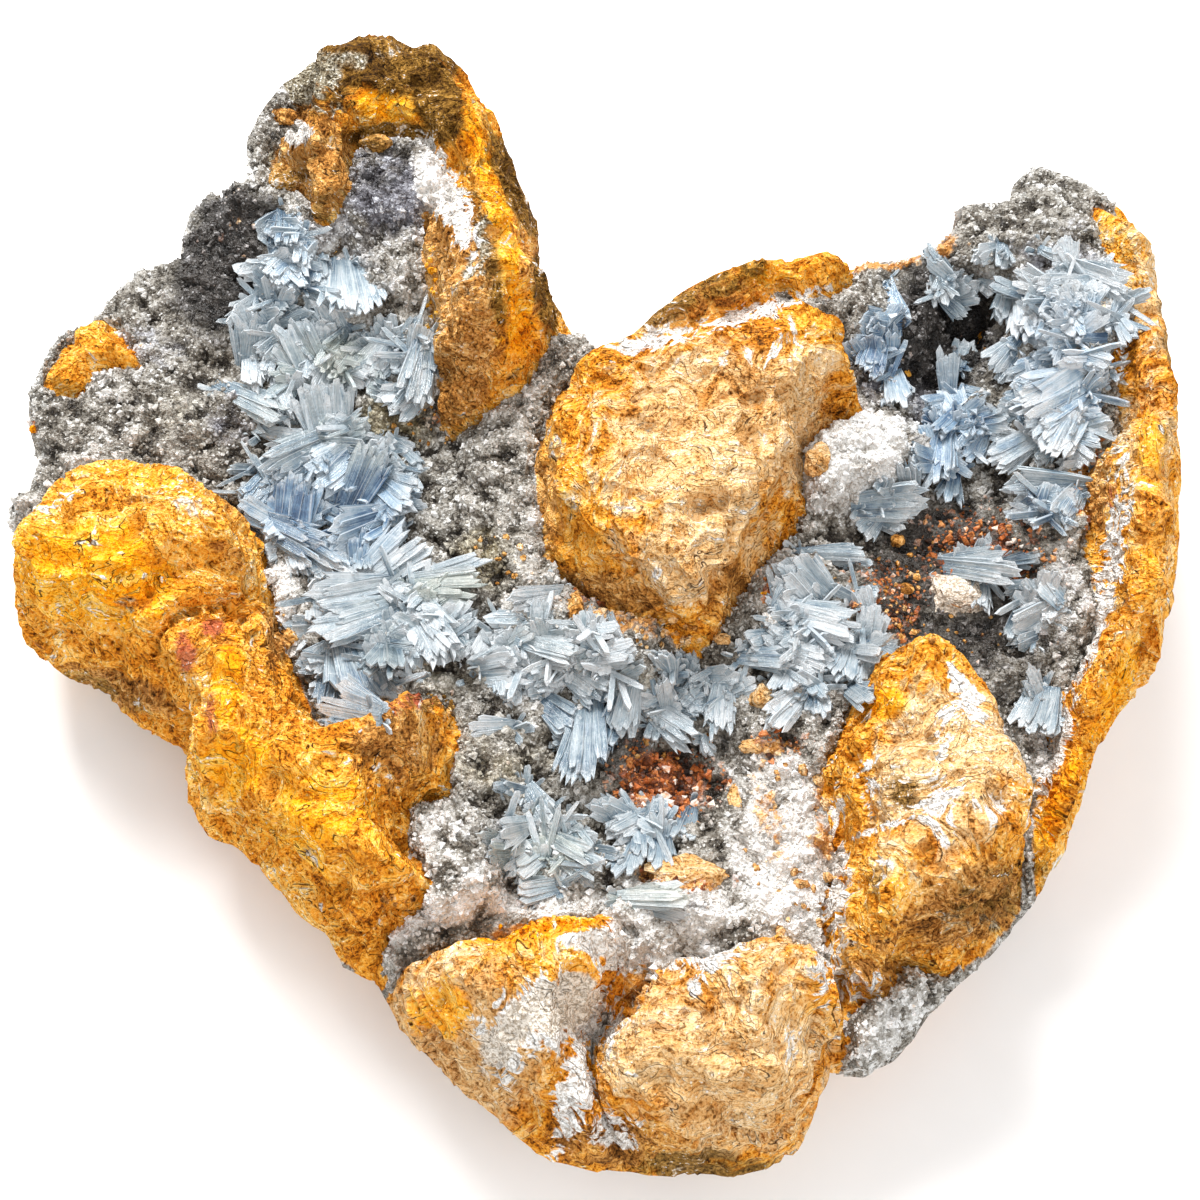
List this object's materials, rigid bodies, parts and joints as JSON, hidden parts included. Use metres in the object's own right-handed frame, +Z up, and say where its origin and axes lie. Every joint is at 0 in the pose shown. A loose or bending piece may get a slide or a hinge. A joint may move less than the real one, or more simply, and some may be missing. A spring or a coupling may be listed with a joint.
{
  "type": "barite mineral specimen",
  "caption": "Rough mineral specimen: sprays of blue barite blades on a grey crystal crust in the hollow of an ochre rock, lying on its flat back.",
  "frame": {"origin": "middle of the bounding box's base, on the flat underside", "axes": "+Z up out of the hollow, away from the flat back; +X to the right and +Y to the far side as seen from the front"},
  "size_m": [0.4208, 0.425, 0.1105],
  "materials": {
    "ochre_rock": "rough, earthy, ochre with brown and white patches",
    "grey_crust": "sugary crust of small grey and white crystals",
    "blue_barite": "pale grey-blue translucent blades with a glassy shine"
  },
  "bodies": {
    "root": {"matrix_rock": "ochre_rock", "druse_crust": "grey_crust", "barite_left": "blue_barite", "barite_left_back": "blue_barite", "barite_centre": "blue_barite", "barite_middle_right": "blue_barite", "barite_mound_fan": "blue_barite", "barite_front_left": "blue_barite", "barite_front_middle": "blue_barite", "barite_front_plate": "blue_barite", "barite_pocket_left": "blue_barite", "barite_pocket_back": "blue_barite", "barite_pocket": "blue_barite", "barite_right_wall": "blue_barite", "barite_right_plate": "blue_barite", "barite_right_beam": "blue_barite", "barite_right_fan": "blue_barite", "barite_right_front": "blue_barite"}
  },
  "joints": []
}
